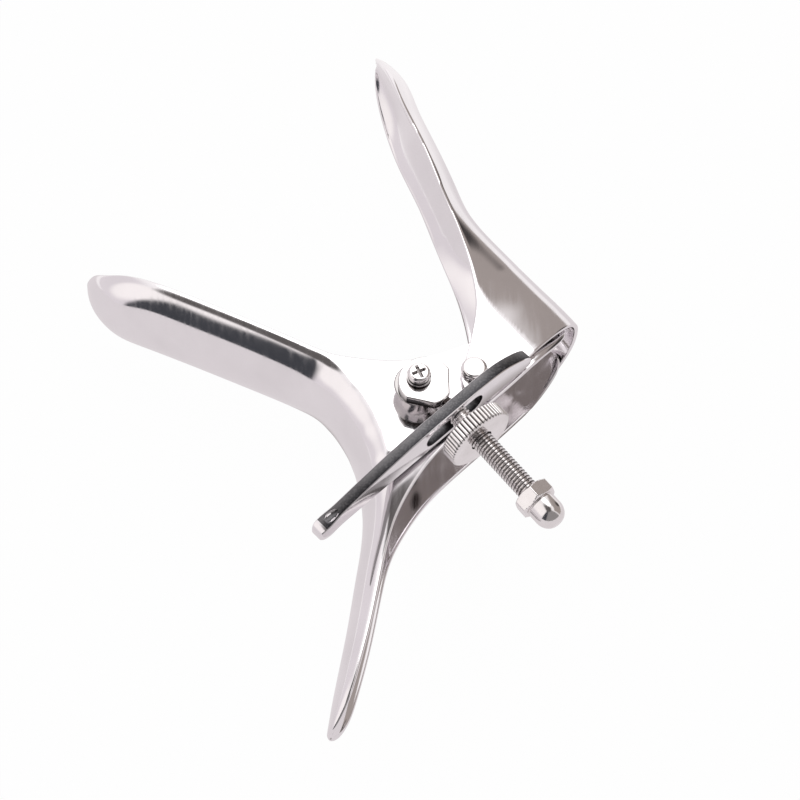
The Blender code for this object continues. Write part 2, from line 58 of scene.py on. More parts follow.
# Sheet and running gaps
SHEET = 1.3
SIDE_GAP = 0.35
SEAT_GAP = 0.3
PIN_CLEARANCE = 0.2

# Pressed valves
COLLAR_HALF_WIDTH = 14.0
UPPER_COLLAR_HALF_WIDTH = COLLAR_HALF_WIDTH + SHEET + SIDE_GAP
LOWER_BLADE_HALF_WIDTH = 15.0
UPPER_BLADE_HALF_WIDTH = 16.0
HANDLE_HALF_WIDTH = 9.6
TIP_HALF_WIDTH = 1.6
LOWER_BLADE_DEPTH = 9.0
UPPER_BLADE_DEPTH = 6.3
LOWER_COLLAR_DEPTH = 8.6
UPPER_COLLAR_DEPTH = 20.0
UPPER_CROWN_HALF_WIDTH = 11.5
HANDLE_DEPTH = 6.0
CHEEK_LEAN = 6.6
CHEEK_LEAN_LENGTH = 16.0
CHEEK_LEAN_START = 16.2
CHEEK_LEAN_POWER = 1.3
CHEEK_DIRECTION = math.radians(40.8)
ROUND = 0.55
BOXED = 0.75
FLARE = 0.3
FLARE_LENGTH = 3.0
EDGE_ROUNDING = 0.42
ROW_SPACING = 0.95
HALF_COLUMNS = 44
SECTION_FLAT_POINTS = 40
SECTION_BEND_POINTS = 60
COLUMN_CROWDING = 0.92

# Heights of the pieces above the middle plane
LOWER_CHEEK_OUTER = COLLAR_HALF_WIDTH + SHEET / 2
LOWER_CHEEK_INNER = COLLAR_HALF_WIDTH - SHEET / 2
UPPER_CHEEK_OUTER = UPPER_COLLAR_HALF_WIDTH + SHEET / 2
LEVER_BASE = UPPER_CHEEK_OUTER + SEAT_GAP
ROD_AXIS = LOWER_CHEEK_OUTER + 7.1

# Rivets
RIVET_RADIUS = 2.0
RIVET_HEAD_RADIUS = 3.7
RIVET_HEAD_HEIGHT = 1.9
RIVET_TAIL_RADIUS = 3.1
RIVET_TAIL_HEIGHT = 1.1
HEAD_FLAT_SHARE = 0.84

# Opening lever
LEVER_ANGLE = math.radians(44.0)
LEVER_OFFSET = 7.6
LEVER_THICKNESS = 3.5
LEVER_HEIGHT = 10.8
LEVER_UPPER_END = 13.0
LEVER_LOWER_END = 66.0
SLOT_CENTRE = 17.0
SLOT_LENGTH = 21.0
SLOT_CLEARANCE = 0.25
LEVER_BEVEL = 0.3
LEVER_BEVEL_DROP = 0.15
DISH_FROM_END = 5.2
DISH_HEIGHT = 5.95
DISH_SIZE = (3.1, 1.4, 0.6)
# From this far past the lower end, the lever's top takes the painted shade finish.
PAINTED_SHADE_FROM_END = 2.2

# Rod and nuts, distances along the rod from its swivel
ROD_RADIUS = 3.0
ROD_SIDE_OFFSET = 1.65
ROD_LENGTH = 50.4
THREAD_PITCH = 1.0
THREAD_DEPTH = 0.55
THREAD_START = 14.0
THREAD_STEPS = 10
THREAD_STEEPNESS = 2.7
NECK = ((0, 5.2), (1.2, 5.2), (1.4, 9.5), (2.0, 11.0), (2.7, 12.4))
SHANK_START = 13.2
SHANK_CHAMFER = 0.6
EYE_RADIUS = 7.5
EYE_THICKNESS = 3.0
EYE_ALONG = 1.9
EYE_ASIDE = 0.9
EYE_FLAT_ANGLE = math.radians(52.0)
EYE_FLAT_DISTANCE = 6.4
NUT_RADIUS = 9.85
NUT_THICKNESS = 5.0
NUT_DISTANCE = 19.8
NUT_CHAMFER = 0.9
NUT_CHAMFER_HEIGHT = 0.45
KNURLS = 52
KNURL_DEPTH = 0.48
KNURL_SHARPNESS = 2.2
HEX_ACROSS_FLATS = 10.0
HEX_LENGTH = 4.2
HEX_TURN = math.radians(12.0)
HEX_BACK = 44.4
DOME_RADIUS = 4.2
DOME_LENGTH = 8.4
ROUND_SIDES = 144

# Swivel of the rod
BOSS_RADIUS = 6.9
BOSS_FOOT_SHARE = 0.42
BOSS_WAIST_SHARE = 0.78
BOSS_WAIST_HEIGHT = 2.0
SCREW_RADIUS = 1.5
SCREW_HEAD_RADIUS = 3.1
SCREW_HEAD_HEIGHT = 2.0
SCREW_TAIL = 1.0
CROSS_WIDTH = 1.15
CROSS_LENGTH = 4.7
CROSS_DEPTH = 1.0
CROSS_TURN = math.radians(25.0)
WASHER_RADIUS = 3.4
WASHER_THICKNESS = 0.8
WASHER_SPLIT = 0.7
WASHER_SPLIT_TURN = 0.7
EYE_TOP = ROD_AXIS + EYE_THICKNESS / 2

# Camera: its angles and lens, the height it aims at and its place from there, on its own axes
CAMERA_ELEVATION = math.radians(61.0)
CAMERA_TILT = math.radians(-1.5)
CAMERA_LENS = 98.55
CAMERA_AIM_HEIGHT = 16.3
CAMERA_PLACE = (-20.274, -7.945, 600.0)

# Floor, in metres: its size, and the painted shadow under the collar, a dark patch that the metal
# mirrors
FLOOR_HALF = 1.5
FLOOR_DROP = 0.0002
PAINTED_SHADOW_MIDDLE = (0.032, 0.005)
PAINTED_SHADOW_REACH = (0.046, 0.035)
PAINTED_SHADOW_EDGE = (0.7, 0.3)

FULL_TURN = 2 * math.pi


# Shapes


def lower_stations():
    """Lower valve, tip to handle: crown, edge, half width, depth and how boxed."""
    blade, collar, grip = LOWER_BLADE_HALF_WIDTH, COLLAR_HALF_WIDTH, HANDLE_HALF_WIDTH
    deep, bend, shallow = LOWER_BLADE_DEPTH, LOWER_COLLAR_DEPTH, HANDLE_DEPTH
    return np.array(
        [
            (-109.0, 35.4, -108.8, 35.9, TIP_HALF_WIDTH, 0.4, 0),
            (-108.4, 31.8, -106.6, 35.4, blade * 0.4, deep * 0.42, 0),
            (-106.0, 27.2, -102.4, 33.0, blade * 0.66, deep * 0.72, 0),
            (-100.6, 22.4, -96.2, 30.8, blade * 0.89, deep * 0.96, 0),
            (-91.7, 19.2, -88.0, 27.5, blade, deep, 0),
            (-79.7, 14.1, -76.0, 22.4, blade, deep, 0),
            (-65.6, 7.9, -61.9, 16.1, blade, deep, 0),
            (-53.4, 2.3, -49.8, 10.6, blade * 0.98, deep, 0),
            (-46.4, -1.4, -41.2, 6.6, blade * 0.96, deep, 0),
            (-43.0, -3.9, -35.0, 5.2, collar, bend * 1.05, 0),
            (-40.6, -6.3, -18.0, 3.9, collar, bend, 0),
            (-37.6, -10.2, -1.5, 9.3, collar, bend, 0),
            (-34.2, -16.2, 9.0, 15.9, collar, bend, 0),
            (-32.9, -19.5, 19.8, 22.6, collar, bend, 0),
            (-32.2, -21.4, 26.8, 17.8, collar, bend, 0),
            (-31.6, -23.3, 22.4, 9.8, collar, bend, 0),
            (-31.1, -25.4, 12.0, -1.6, collar, bend, 0),
            (-30.6, -27.6, 0.6, -12.8, collar, bend, 0),
            (-30.2, -29.4, -11.6, -25.6, collar * 0.97, bend * 0.95, 0),
            (-29.3, -38.0, -19.2, -38.0, grip * 1.28, bend * 0.88, 0),
            (-29.8, -47.2, -22.8, -47.4, grip * 1.12, shallow * 1.12, 0),
            (-31.3, -57.2, -24.9, -57.8, grip * 1.03, shallow * 1.03, 0),
            (-33.2, -70.6, -27.4, -71.4, grip, shallow * 0.96, 0),
            (-35.3, -82.4, -30.2, -83.2, grip * 0.98, shallow * 0.84, 0),
            (-36.8, -90.8, -32.4, -91.4, grip * 0.9, shallow * 0.72, 0),
            (-37.6, -96.2, -34.6, -96.4, grip * 0.68, shallow * 0.5, 0),
            (-38.0, -98.9, -36.4, -99.0, grip * 0.42, shallow * 0.26, 0),
            (-38.1, -99.9, -37.5, -99.9, TIP_HALF_WIDTH, 0.4, 0),
        ]
    )


def upper_stations():
    """Upper valve, tip to proximal rim, in the same order of values."""
    blade, collar = UPPER_BLADE_HALF_WIDTH, UPPER_COLLAR_HALF_WIDTH
    deep, arch = UPPER_BLADE_DEPTH, UPPER_COLLAR_DEPTH
    return np.array(
        [
            (-26.8, 117.0, -27.3, 116.8, TIP_HALF_WIDTH, 0.4, 0),
            (-24.8, 115.0, -27.4, 113.6, blade * 0.38, deep * 0.4, 0),
            (-21.4, 110.8, -26.2, 108.4, blade * 0.66, deep * 0.74, 0),
            (-17.2, 103.6, -23.8, 101.0, blade * 0.91, deep * 0.98, 0),
            (-14.2, 94.0, -20.6, 91.7, blade, deep, 0),
            (-10.4, 84.8, -16.9, 82.6, blade, deep, 0),
            (-6.9, 76.3, -13.3, 73.9, blade, deep, 0),
            (-3.6, 67.4, -9.9, 63.6, blade, deep * 1.05, 0.1),
            (-0.8, 59.4, -6.7, 54.4, blade, arch * 0.4, 0.5),
            (2.0, 54.4, -4.2, 47.4, blade, arch * 0.5, 0.9),
            (6.0, 49.6, -1.9, 39.8, collar, arch * 0.66, 1),
            (12.2, 42.8, -0.1, 31.6, collar, arch * 0.83, 1),
            (17.4, 37.0, 1.0, 22.8, collar, arch * 0.95, 1),
            (21.4, 32.5, 0.2, 15.4, collar, arch, 1),
            (24.6, 28.9, -1.6, 6.6, collar, arch, 1),
            (26.8, 26.3, -3.4, 0.2, collar, arch, 1),
            (28.2, 24.6, -3.3, -4.6, collar, arch, 1),
            (29.4, 23.1, -0.6, -8.0, collar, arch, 1),
            (30.4, 21.7, 4.6, -7.6, collar, arch, 1),
        ]
    )


def curve_through(values, steps=16, softening=40):
    """A smooth curve through rows of values, eased between its two ends."""
    before = np.vstack([values[:1], values[:-1]])
    after = np.vstack([values[1:], values[-1:]])
    slope = (after - before) / 2
    t = np.linspace(0, 1, steps, endpoint=False)[:, None]
    pieces = []
    for i in range(len(values) - 1):
        piece = (2 * t**3 - 3 * t**2 + 1) * values[i] + (t**3 - 2 * t**2 + t) * slope[i]
        piece += (3 * t**2 - 2 * t**3) * values[i + 1] + (t**3 - t**2) * slope[i + 1]
        pieces.append(piece)
    curve = np.vstack(pieces + [values[-1:]])
    for _ in range(softening):
        curve[1:-1] = (curve[:-2] + 2 * curve[1:-1] + curve[2:]) / 4
    return curve


def crowded(rounding):
    """Distances from an edge, crowded within its rounding."""
    return rounding * (1 - np.cos(np.linspace(0, math.pi / 2, 5)[:-1]))


def places_along(length, spacing, rounding):
    """Distances from one end to the other, crowded where an edge is rounded."""
    cap = crowded(rounding)
    count = max(int((length - 2 * rounding) / spacing), 4)
    middle = np.linspace(rounding, length - rounding, count + 1)
    return np.concatenate([cap, middle, (length - cap)[::-1]])


def edge_share(distance, rounding):
    """The share of the full thickness at a distance from a rounded edge."""
    return np.sqrt(1 - (1 - np.clip(distance / rounding, 0, 1)) ** 2)


def cheek_drop(points):
    """How much lower a lower cheek lies, towards the inside of the upper collar."""
    reach = points[:, 0] * math.cos(CHEEK_DIRECTION) + points[:, 1] * math.sin(CHEEK_DIRECTION)
    share = np.maximum(reach - CHEEK_LEAN_START, 0) / CHEEK_LEAN_LENGTH
    return CHEEK_LEAN * share**CHEEK_LEAN_POWER


def half_section(row, leaning):
    """Points of one half of a trough's section, from its edge to its crown."""
    crown, edge = row[0:2], row[2:4]
    half_width, depth, boxed = row[4], row[5], row[6]
    inward = edge - crown
    length = np.linalg.norm(inward)
    inward = inward / length
    depth = min(depth, length * 0.94)
    shoulder = half_width + (min(UPPER_CROWN_HALF_WIDTH, half_width) - half_width) * boxed
    bulge = ROUND + (BOXED - ROUND) * boxed
    flared = 0.0 if leaning else max(1 - (length - depth) / FLARE_LENGTH, 0.0) * (1 - boxed)
    flat = np.linspace(length, depth, SECTION_FLAT_POINTS, endpoint=False)
    flat_points = crown + inward * flat[:, None]
    height = np.full(SECTION_FLAT_POINTS, half_width)
    if leaning:
        height = height - cheek_drop(flat_points)
    far = np.linspace(0, 1, SECTION_BEND_POINTS)
    near = 1 - far
    low, high, end = 3 * near * far**2, 3 * near**2 * far, near**3
    along = depth * (high * (1 - bulge) + end)
    rise = low * bulge * shoulder + end * half_width
    rise += high * (half_width * (1 - FLARE * flared) + bulge * (shoulder - half_width))
    bend = np.column_stack([crown + inward * along[:, None], rise])
    return np.vstack([np.column_stack([flat_points, height]), bend])


def spaced_by_length(points, columns, rounding):
    """The same line with its points spaced by length, and their distance from its start."""
    steps = np.linalg.norm(np.diff(points, axis=0), axis=1)
    travelled = np.concatenate([[0], np.cumsum(steps)])
    length = travelled[-1]
    rounding = min(rounding, length * 0.25)
    share = np.linspace(0, 1, columns) ** COLUMN_CROWDING
    wanted = np.concatenate([crowded(rounding), rounding + (length - rounding) * share])
    line = np.column_stack([np.interp(wanted, travelled, points[:, i]) for i in range(3)])
    return line, edge_share(wanted, rounding)


def sheet_shell(middle, thickness):
    """A closed shell about a sheet's middle surface, whose thickness ends at nothing."""
    along = np.gradient(middle, axis=0)
    across = np.gradient(middle, axis=1)
    normal = np.cross(across, along)
    normal /= np.linalg.norm(normal, axis=2, keepdims=True)
    rows, columns = thickness.shape
    outer = (middle + normal * thickness[..., None] / 2).reshape(-1, 3)
    inner = (middle - normal * thickness[..., None] / 2).reshape(-1, 3)
    front = np.arange(rows * columns).reshape(rows, columns)
    back = front.copy()
    inside = (slice(1, -1), slice(1, -1))
    back[inside] = rows * columns + np.arange((rows - 2) * (columns - 2)).reshape(rows - 2, -1)
    points = np.vstack([outer, inner.reshape(rows, columns, 3)[inside].reshape(-1, 3)])
    faces = []
    for grid, turn in ((front, 1), (back, -1)):
        corners = [grid[:-1, :-1], grid[:-1, 1:], grid[1:, 1:], grid[1:, :-1]]
        faces.append(np.stack(corners[::turn], axis=-1).reshape(-1, 4))
    return points, np.vstack(faces)


def pressed_valve(stations, leaning=False):
    """A valve lofted through its stations, with its free edges rounded all round."""
    rows = curve_through(stations)
    crown_steps = np.linalg.norm(np.diff(rows[:, 0:2], axis=0), axis=1)
    edge_steps = np.linalg.norm(np.diff(rows[:, 2:4], axis=0), axis=1)
    travelled = np.concatenate([[0], np.cumsum(np.maximum(crown_steps, edge_steps))])
    wanted = places_along(travelled[-1], ROW_SPACING, EDGE_ROUNDING)
    rows = np.column_stack([np.interp(wanted, travelled, rows[:, i]) for i in range(7)])
    end_distance = np.minimum(wanted, travelled[-1] - wanted)
    end_share = edge_share(end_distance, EDGE_ROUNDING)
    middle, thickness = [], []
    for row, share in zip(rows, end_share):
        section = half_section(row, leaning)
        half, across_share = spaced_by_length(section, HALF_COLUMNS, EDGE_ROUNDING)
        other = half[-2::-1] * (1, 1, -1)
        middle.append(np.vstack([half, other]))
        thickness.append(SHEET * share * np.concatenate([across_share, across_share[-2::-1]]))
    return sheet_shell(np.array(middle), np.array(thickness))


def mesh_of(name, points, faces):
    """A mesh from points in mm and faces, merged and facing outwards."""
    mesh = bpy.data.meshes.new(name)
    mesh.from_pydata([tuple(p) for p in points], [], [tuple(f) for f in faces])
    shape = bmesh.new()
    shape.from_mesh(mesh)
    bmesh.ops.remove_doubles(shape, verts=shape.verts, dist=1e-4)
    bmesh.ops.recalc_face_normals(shape, faces=shape.faces)
    shape.to_mesh(mesh)
    shape.free()
    return mesh


def faces_between(rings, count):
    """The faces between closed rings of points that follow one another."""
    faces = []
    for i in range(rings - 1):
        for j in range(count):
            k = (j + 1) % count
            faces.append((i * count + j, i * count + k, (i + 1) * count + k, (i + 1) * count + j))
    return faces


def rounded(points, radii, closed=True, steps=4):
    """An outline with its corners rounded, each by its own radius."""
    count = len(points)
    points = [np.array(p, float) for p in points]
    result = []
    for i, (point, radius) in enumerate(zip(points, radii)):
        if radius == 0 or (not closed and i in (0, count - 1)):
            result.append(point)
            continue
        before, after = points[i - 1] - point, points[(i + 1) % count] - point
        reach = min(radius, np.linalg.norm(before) / 2.01, np.linalg.norm(after) / 2.01)
        start = point + before / np.linalg.norm(before) * reach
        end = point + after / np.linalg.norm(after) * reach
        for t in np.linspace(0, 1, steps + 1):
            result.append((1 - t) ** 2 * start + 2 * t * (1 - t) * point + t**2 * end)
    return np.array(result)


def turned(name, profile, sides, closed=False, sweep=FULL_TURN, start=0.0):
    """A piece turned about Z from (radius, height) points, whole or with a split."""
    whole = sweep > FULL_TURN - 1e-6
    turns = start + np.linspace(0, sweep, sides, endpoint=not whole)
    radius, height = profile[:, 0][:, None], profile[:, 1][:, None]
    ring = np.stack([radius * np.cos(turns), radius * np.sin(turns), height + 0 * turns], axis=-1)
    count = len(profile)
    index = np.arange(count * sides).reshape(count, sides)
    faces = []
    for i in range(count if closed else count - 1):
        low, high = index[i], index[(i + 1) % count]
        for j in range(sides if whole else sides - 1):
            k = (j + 1) % sides
            faces.append((low[j], low[k], high[k], high[j]))
    if not whole:
        faces += [tuple(index[:, 0]), tuple(index[::-1, -1])]
    return mesh_of(name, ring.reshape(-1, 3), faces)


def prism(name, outline, low, high, taper=1.0):
    """A solid with a flat outline between two heights, the low end tapered."""
    outline = np.array(outline, float)
    count = len(outline)
    base = np.column_stack([outline * taper, np.full(count, low)])
    top = np.column_stack([outline, np.full(count, high)])
    faces = [tuple(range(count)), tuple(range(2 * count - 1, count - 1, -1))]
    faces += [(i, (i + 1) % count, count + (i + 1) % count, count + i) for i in range(count)]
    return mesh_of(name, np.vstack([base, top]), faces)


def bare_object(name, mesh):
    obj = bpy.data.objects.new(name, mesh)
    bpy.context.scene.collection.objects.link(obj)
    return obj


def settled(obj):
    """The mesh with its modifiers worked in, and the scaffolding object removed."""
    bpy.context.view_layer.update()
    graph = bpy.context.evaluated_depsgraph_get()
    mesh = bpy.data.meshes.new_from_object(obj.evaluated_get(graph))
    mesh.name = obj.name
    bpy.data.objects.remove(obj)
    return mesh


def combined(mesh, tool_mesh, operation):
    """Two solids joined, or one cut out of the other."""
    base = bare_object(mesh.name, mesh)
    tool = bare_object("tool", tool_mesh)
    change = base.modifiers.new("change", "BOOLEAN")
    change.operation = operation
    change.solver = "EXACT"
    change.object = tool
    result = settled(base)
    bpy.data.objects.remove(tool)
    return result


def moved(mesh, *places):
    for place in places:
        mesh.transform(place)
    return mesh


def at(x, y, z):
    return Matrix.Translation((x, y, z))


def keep_on_points(mesh, name, share):
    """Keeps a value from 0 to 1 on every point, worked out from its place."""
    mark = mesh.attributes.get(name) or mesh.attributes.new(name, "FLOAT", "POINT")
    values = [min(max(float(share(*point.co)), 0.0), 1.0) for point in mesh.vertices]
    mark.data.foreach_set("value", values)
    return mesh


def from_hinge(mesh):
    """Places a mesh made about the hinge, in mm, into the model's frame."""
    return moved(mesh, Matrix.Translation(HINGE), Matrix.Scale(MM, 4))


def on_swivel(mesh):
    """Places a mesh made about the rod's swivel, seen from above with X along the rod."""
    angle = math.atan2(ROD_DIRECTION.y, ROD_DIRECTION.x)
    spot = Matrix.Translation((PIVOT.x, PIVOT.y, HINGE.z))
    return moved(mesh, Matrix.Rotation(angle, 4, "Z"), spot, Matrix.Scale(MM, 4))


def laid_along_rod(mesh):
    """Lays a mesh turned about Z along the rod, still about the rod's swivel."""
    return moved(mesh, Matrix.Rotation(math.pi / 2, 4, "Y"), at(0, ROD_SIDE_OFFSET, ROD_AXIS))


def piece(name, mesh, materials, body, slot, *nodes, sharp=None):
    """A finished piece that rides on a body and stands for its solids."""
    mesh.shade_smooth()
    if sharp:
        mesh.set_sharp_from_angle(angle=math.radians(sharp))
    mesh.materials.clear()
    for material in materials:
        mesh.materials.append(material)
    obj = bare_object(name, mesh)
    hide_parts(*nodes)
    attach(obj, body)
    return obj


# Node trees


def worked_out(tree, operation, *values):
    """A math node's result from numbers and other results."""
    node = tree.nodes.new("ShaderNodeMath")
    node.operation = operation
    for socket, value in zip(node.inputs, values):
        if isinstance(value, (int, float)):
            socket.default_value = value
        else:
            tree.links.new(value, socket)
    return node.outputs[0]


def shape_tree(name, sizes):
    """A geometry tree with a named input for each size: tree, sockets, input node."""
    tree = bpy.data.node_groups.new(name, "GeometryNodeTree")
    tree.interface.new_socket("Geometry", in_out="INPUT", socket_type="NodeSocketGeometry")
    sockets = {}
    for size in sizes:
        sockets[size] = tree.interface.new_socket(
            size, in_out="INPUT", socket_type="NodeSocketFloat"
        )
    tree.interface.new_socket("Geometry", in_out="OUTPUT", socket_type="NodeSocketGeometry")
    return tree, sockets, tree.nodes.new("NodeGroupInput")


def cut_inwards(tree, given, depth, material):
    """Ends a tree: points move towards the Z axis by a share of its depth, which is kept
    on them as painted shade for the finish, and the shape gets a material."""
    links = tree.links
    position = tree.nodes.new("GeometryNodeInputPosition")
    parts = tree.nodes.new("ShaderNodeSeparateXYZ")
    links.new(position.outputs[0], parts.inputs[0])
    flat = tree.nodes.new("ShaderNodeCombineXYZ")
    links.new(parts.outputs[0], flat.inputs[0])
    links.new(parts.outputs[1], flat.inputs[1])
    outward = tree.nodes.new("ShaderNodeVectorMath")
    outward.operation = "NORMALIZE"
    links.new(flat.outputs[0], outward.inputs[0])
    shift = tree.nodes.new("ShaderNodeVectorMath")
    shift.operation = "SCALE"
    links.new(outward.outputs[0], shift.inputs[0])
    inward = worked_out(tree, "MULTIPLY", worked_out(tree, "MULTIPLY", depth, -1.0),
                        given.outputs["Depth"])
    links.new(inward, shift.inputs["Scale"])
    mark = tree.nodes.new("GeometryNodeStoreNamedAttribute")
    mark.data_type = "FLOAT"
    mark.inputs["Name"].default_value = "painted_shade"
    links.new(depth, mark.inputs["Value"])
    links.new(given.outputs["Geometry"], mark.inputs["Geometry"])
    place = tree.nodes.new("GeometryNodeSetPosition")
    links.new(mark.outputs[0], place.inputs["Geometry"])
    links.new(shift.outputs[0], place.inputs["Offset"])
    real = tree.nodes.new("GeometryNodeRealizeInstances")
    links.new(place.outputs[0], real.inputs[0])
    finish = tree.nodes.new("GeometryNodeSetMaterial")
    finish.inputs["Material"].default_value = material
    links.new(real.outputs[0], finish.inputs["Geometry"])
    out = tree.nodes.new("NodeGroupOutput")
    links.new(finish.outputs[0], out.inputs[0])


def round_and_up(tree):
    """The angle about Z in turns, the distance from Z and the height of each point."""
    position = tree.nodes.new("GeometryNodeInputPosition")
    parts = tree.nodes.new("ShaderNodeSeparateXYZ")
    tree.links.new(position.outputs[0], parts.inputs[0])
    x, y, z = parts.outputs
    turn = worked_out(tree, "DIVIDE", worked_out(tree, "ARCTAN2", y, x), FULL_TURN)
    square = worked_out(tree, "MULTIPLY", y, y)
    radius = worked_out(tree, "SQRT", worked_out(tree, "MULTIPLY_ADD", x, x, square))
    return turn, radius, z


def fade(tree, value, start, length):
    """0 below the start, 1 past the length."""
    share = worked_out(tree, "DIVIDE", worked_out(tree, "SUBTRACT", value, start), length)
    return worked_out(tree, "MINIMUM", worked_out(tree, "MAXIMUM", share, 0.0), 1.0)


def thread_tree(material):
    """Cuts a screw thread into a plain shank, with painted shade in its valleys."""
    tree, sockets, given = shape_tree("screw_thread", ("Pitch", "Depth", "From", "To"))
    turn, _, height = round_and_up(tree)
    pitch = given.outputs["Pitch"]
    wound = worked_out(tree, "SUBTRACT", worked_out(tree, "DIVIDE", height, pitch), turn)
    rise = worked_out(tree, "PINGPONG", wound, 0.5)
    flank = worked_out(tree, "MULTIPLY", rise, THREAD_STEEPNESS)
    valley = worked_out(tree, "SUBTRACT", 1.0, worked_out(tree, "MINIMUM", flank, 1.0))
    starting = fade(tree, height, given.outputs["From"], pitch)
    ending = fade(tree, worked_out(tree, "SUBTRACT", given.outputs["To"], height), 0.0, pitch)
    share = worked_out(tree, "MULTIPLY", valley, worked_out(tree, "MULTIPLY", starting, ending))
    cut_inwards(tree, given, share, material)
    return tree, sockets


def knurl_tree(material):
    """Cuts straight grooves round a rim, which run out at its chamfers, with painted shade in
    them.
    """
    tree, sockets, given = shape_tree("straight_knurl", ("Grooves", "Depth", "Rim"))
    turn, radius, _ = round_and_up(tree)
    wound = worked_out(tree, "MULTIPLY", turn, given.outputs["Grooves"])
    flank = worked_out(tree, "MULTIPLY", worked_out(tree, "PINGPONG", wound, 0.5), 2.0)
    # The groove's profile: it sets how deep each point is cut and, kept by cut_inwards, how much
    # painted shade it gets.
    painted_shade = worked_out(tree, "POWER", worked_out(tree, "SUBTRACT", 1.0, flank),
                        KNURL_SHARPNESS)
    inner = worked_out(tree, "SUBTRACT", given.outputs["Rim"], 0.55)
    share = worked_out(tree, "MULTIPLY", painted_shade, fade(tree, radius, inner, 0.5))
    cut_inwards(tree, given, share, material)
    return tree, sockets


def shaped_by(mesh, tree, sockets, **sizes):
    """The mesh as a tree with these sizes leaves it."""
    obj = bare_object(mesh.name, mesh)
    change = obj.modifiers.new(tree.name, "NODES")
    change.node_group = tree
    for size, value in sizes.items():
        change[sockets[size].identifier] = float(value)
    return settled(obj)


# Finishes


def mixed_colour(tree, share, first, second):
    """A mix of two colours, each given as numbers or as another node's result."""
    node = tree.nodes.new("ShaderNodeMix")
    node.data_type = "RGBA"
    tree.links.new(share, node.inputs["Factor"])
    for socket, value in ((node.inputs["A"], first), (node.inputs["B"], second)):
        if isinstance(value, tuple):
            socket.default_value = value
        else:
            tree.links.new(value, socket)
    return node.outputs["Result"]


class Finish:
    """A material's node tree, with its nodes made by short calls."""

    def __init__(self, name):
        self.material = bpy.data.materials.new(name)
        self.material.use_nodes = True
        self.tree = self.material.node_tree
        self.shader = self.tree.nodes["Principled BSDF"]
        self.place = self.tree.nodes.new("ShaderNodeTexCoord").outputs["Object"]

    def noise(self, scale, stretch=(1, 1, 1), detail=3.0, turn=0.0):
        mapping = self.tree.nodes.new("ShaderNodeMapping")
        mapping.inputs["Scale"].default_value = stretch
        mapping.inputs["Rotation"].default_value = (0, 0, turn)
        self.tree.links.new(self.place, mapping.inputs["Vector"])
        node = self.tree.nodes.new("ShaderNodeTexNoise")
        node.inputs["Scale"].default_value = scale
        node.inputs["Detail"].default_value = detail
        self.tree.links.new(mapping.outputs[0], node.inputs["Vector"])
        return node.outputs["Fac"]

    def ranged(self, value, low, high, start=0.3, end=0.7):
        node = self.tree.nodes.new("ShaderNodeMapRange")
        self.tree.links.new(value, node.inputs["Value"])
        node.inputs["From Min"].default_value = start
        node.inputs["From Max"].default_value = end
        node.inputs["To Min"].default_value = low
        node.inputs["To Max"].default_value = high
        return node.outputs[0]

    def mixed(self, share, first, second):
        pair = [(*c, 1.0) if isinstance(c, tuple) else c for c in (first, second)]
        return mixed_colour(self.tree, share, *pair)

    def marked(self, name):
        node = self.tree.nodes.new("ShaderNodeAttribute")
        node.attribute_name = name
        return node.outputs["Fac"]

    def bump(self, height, distance, strength=1.0, under=None):
        node = self.tree.nodes.new("ShaderNodeBump")
        node.inputs["Distance"].default_value = distance
        node.inputs["Strength"].default_value = strength
        self.tree.links.new(height, node.inputs["Height"])
        if under:
            self.tree.links.new(under, node.inputs["Normal"])
        return node.outputs[0]

    def give(self, socket, value):
        if isinstance(value, (int, float)):
            self.shader.inputs[socket].default_value = value
        else:
            self.tree.links.new(value, self.shader.inputs[socket])


def polished_sheet():
    """Hand-buffed sheet steel: bright, faintly cloudy, with fine hairlines."""
    finish = Finish("polished_sheet_steel")
    cloud = finish.ranged(finish.noise(55.0, detail=4.0), 0.0, 1.0)
    finish.give("Base Color", finish.mixed(cloud, (0.90, 0.88, 0.895), (0.83, 0.81, 0.825)))
    finish.give("Metallic", 1.0)
    hairs = finish.noise(900.0, (1.0, 0.06, 0.3), detail=2.0, turn=0.7)
    finish.give("Roughness", finish.ranged(hairs, 0.07, 0.15))
    swell = finish.bump(finish.noise(45.0, detail=1.0), 0.00006, 0.5)
    finish.give("Normal", finish.bump(hairs, 0.0000012, 0.6, under=swell))
    return finish.material


def plated_piece():
    """Bright nickel plate on turned pieces: warmer, with turning marks, and near black with
    painted shade wherever a point carries it.
    """
    finish = Finish("bright_plated_steel")
    cloud = finish.ranged(finish.noise(160.0, detail=3.0), 0.0, 1.0)
    plate = finish.mixed(cloud, (0.90, 0.88, 0.88), (0.80, 0.775, 0.77))
    # Painted shade: near black in thread and knurl valleys, the screw's recess and the sides of
    # the eye, boss and washer.
    painted_shade = finish.ranged(finish.marked("painted_shade"), 0.0, 1.0, 0.2, 0.85)
    finish.give("Base Color", finish.mixed(painted_shade, plate, (0.055, 0.045, 0.042)))
    finish.give("Metallic", 1.0)
    grain = finish.noise(1500.0, detail=2.0)
    finish.give("Roughness", finish.ranged(grain, 0.08, 0.17))
    finish.give("Normal", finish.bump(grain, 0.0000015, 0.5))
    return finish.material


